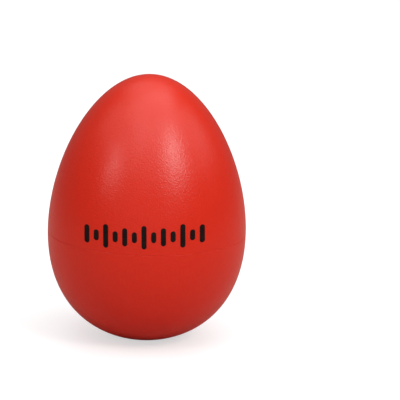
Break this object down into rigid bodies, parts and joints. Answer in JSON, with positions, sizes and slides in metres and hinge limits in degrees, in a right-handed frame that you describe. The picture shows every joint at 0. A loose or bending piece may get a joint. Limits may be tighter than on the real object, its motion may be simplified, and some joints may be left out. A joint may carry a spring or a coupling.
{
  "type": "egg shaker",
  "caption": "Egg-shaped hand percussion shaker: a welded split plastic shell with a small flat foot, a printed row of bars on the front and loose steel shot sealed inside.",
  "frame": {"origin": "centre of the flat foot at the blunt end, where the egg stands", "axes": "+Z along the egg's axis from the blunt end up to the pointed end; the printed row of bars faces -Y"},
  "size_m": [0.0454, 0.0455, 0.0611],
  "materials": {
    "shell_plastic": "satin",
    "print_ink": "satin",
    "shot_steel": "polished"
  },
  "bodies": {
    "egg": {"lower_shell": "shell_plastic", "upper_shell": "shell_plastic", "printed_mark": "print_ink"},
    "shot_01": {"shot_01": "shot_steel"},
    "shot_02": {"shot_02": "shot_steel"},
    "shot_03": {"shot_03": "shot_steel"},
    "shot_04": {"shot_04": "shot_steel"},
    "shot_05": {"shot_05": "shot_steel"},
    "shot_06": {"shot_06": "shot_steel"},
    "shot_07": {"shot_07": "shot_steel"},
    "shot_08": {"shot_08": "shot_steel"},
    "shot_09": {"shot_09": "shot_steel"},
    "shot_10": {"shot_10": "shot_steel"},
    "shot_11": {"shot_11": "shot_steel"},
    "shot_12": {"shot_12": "shot_steel"},
    "shot_13": {"shot_13": "shot_steel"},
    "shot_14": {"shot_14": "shot_steel"},
    "shot_15": {"shot_15": "shot_steel"},
    "shot_16": {"shot_16": "shot_steel"},
    "shot_17": {"shot_17": "shot_steel"},
    "shot_18": {"shot_18": "shot_steel"},
    "shot_19": {"shot_19": "shot_steel"},
    "shot_20": {"shot_20": "shot_steel"},
    "shot_21": {"shot_21": "shot_steel"},
    "shot_22": {"shot_22": "shot_steel"},
    "shot_23": {"shot_23": "shot_steel"},
    "shot_24": {"shot_24": "shot_steel"},
    "shot_25": {"shot_25": "shot_steel"},
    "shot_26": {"shot_26": "shot_steel"},
    "shot_27": {"shot_27": "shot_steel"}
  },
  "joints": [
    {"name": "shot_01_rise", "type": "slide", "parent": "egg", "child": "shot_01", "axis": [0, 0, 1], "range_m": [0, 0.0529]},
    {"name": "shot_02_rise", "type": "slide", "parent": "egg", "child": "shot_02", "axis": [0, 0, 1], "range_m": [0, 0.0529]},
    {"name": "shot_03_rise", "type": "slide", "parent": "egg", "child": "shot_03", "axis": [0, 0, 1], "range_m": [0, 0.0529]},
    {"name": "shot_04_rise", "type": "slide", "parent": "egg", "child": "shot_04", "axis": [0, 0, 1], "range_m": [0, 0.0514]},
    {"name": "shot_05_rise", "type": "slide", "parent": "egg", "child": "shot_05", "axis": [0, 0, 1], "range_m": [0, 0.0514]},
    {"name": "shot_06_rise", "type": "slide", "parent": "egg", "child": "shot_06", "axis": [0, 0, 1], "range_m": [0, 0.0514]},
    {"name": "shot_07_rise", "type": "slide", "parent": "egg", "child": "shot_07", "axis": [0, 0, 1], "range_m": [0, 0.0499]},
    {"name": "shot_08_rise", "type": "slide", "parent": "egg", "child": "shot_08", "axis": [0, 0, 1], "range_m": [0, 0.0499]},
    {"name": "shot_09_rise", "type": "slide", "parent": "egg", "child": "shot_09", "axis": [0, 0, 1], "range_m": [0, 0.0499]},
    {"name": "shot_10_rise", "type": "slide", "parent": "egg", "child": "shot_10", "axis": [0, 0, 1], "range_m": [0, 0.0499]},
    {"name": "shot_11_rise", "type": "slide", "parent": "egg", "child": "shot_11", "axis": [0, 0, 1], "range_m": [0, 0.0499]},
    {"name": "shot_12_rise", "type": "slide", "parent": "egg", "child": "shot_12", "axis": [0, 0, 1], "range_m": [0, 0.0499]},
    {"name": "shot_13_rise", "type": "slide", "parent": "egg", "child": "shot_13", "axis": [0, 0, 1], "range_m": [0, 0.0469]},
    {"name": "shot_14_rise", "type": "slide", "parent": "egg", "child": "shot_14", "axis": [0, 0, 1], "range_m": [0, 0.0469]},
    {"name": "shot_15_rise", "type": "slide", "parent": "egg", "child": "shot_15", "axis": [0, 0, 1], "range_m": [0, 0.0469]},
    {"name": "shot_16_rise", "type": "slide", "parent": "egg", "child": "shot_16", "axis": [0, 0, 1], "range_m": [0, 0.0469]},
    {"name": "shot_17_rise", "type": "slide", "parent": "egg", "child": "shot_17", "axis": [0, 0, 1], "range_m": [0, 0.0469]},
    {"name": "shot_18_rise", "type": "slide", "parent": "egg", "child": "shot_18", "axis": [0, 0, 1], "range_m": [0, 0.0469]},
    {"name": "shot_19_rise", "type": "slide", "parent": "egg", "child": "shot_19", "axis": [0, 0, 1], "range_m": [0, 0.0453]},
    {"name": "shot_20_rise", "type": "slide", "parent": "egg", "child": "shot_20", "axis": [0, 0, 1], "range_m": [0, 0.0453]},
    {"name": "shot_21_rise", "type": "slide", "parent": "egg", "child": "shot_21", "axis": [0, 0, 1], "range_m": [0, 0.0453]},
    {"name": "shot_22_rise", "type": "slide", "parent": "egg", "child": "shot_22", "axis": [0, 0, 1], "range_m": [0, 0.0437]},
    {"name": "shot_23_rise", "type": "slide", "parent": "egg", "child": "shot_23", "axis": [0, 0, 1], "range_m": [0, 0.0437]},
    {"name": "shot_24_rise", "type": "slide", "parent": "egg", "child": "shot_24", "axis": [0, 0, 1], "range_m": [0, 0.0437]},
    {"name": "shot_25_rise", "type": "slide", "parent": "egg", "child": "shot_25", "axis": [0, 0, 1], "range_m": [0, 0.0437]},
    {"name": "shot_26_rise", "type": "slide", "parent": "egg", "child": "shot_26", "axis": [0, 0, 1], "range_m": [0, 0.0437]},
    {"name": "shot_27_rise", "type": "slide", "parent": "egg", "child": "shot_27", "axis": [0, 0, 1], "range_m": [0, 0.0437]}
  ]
}
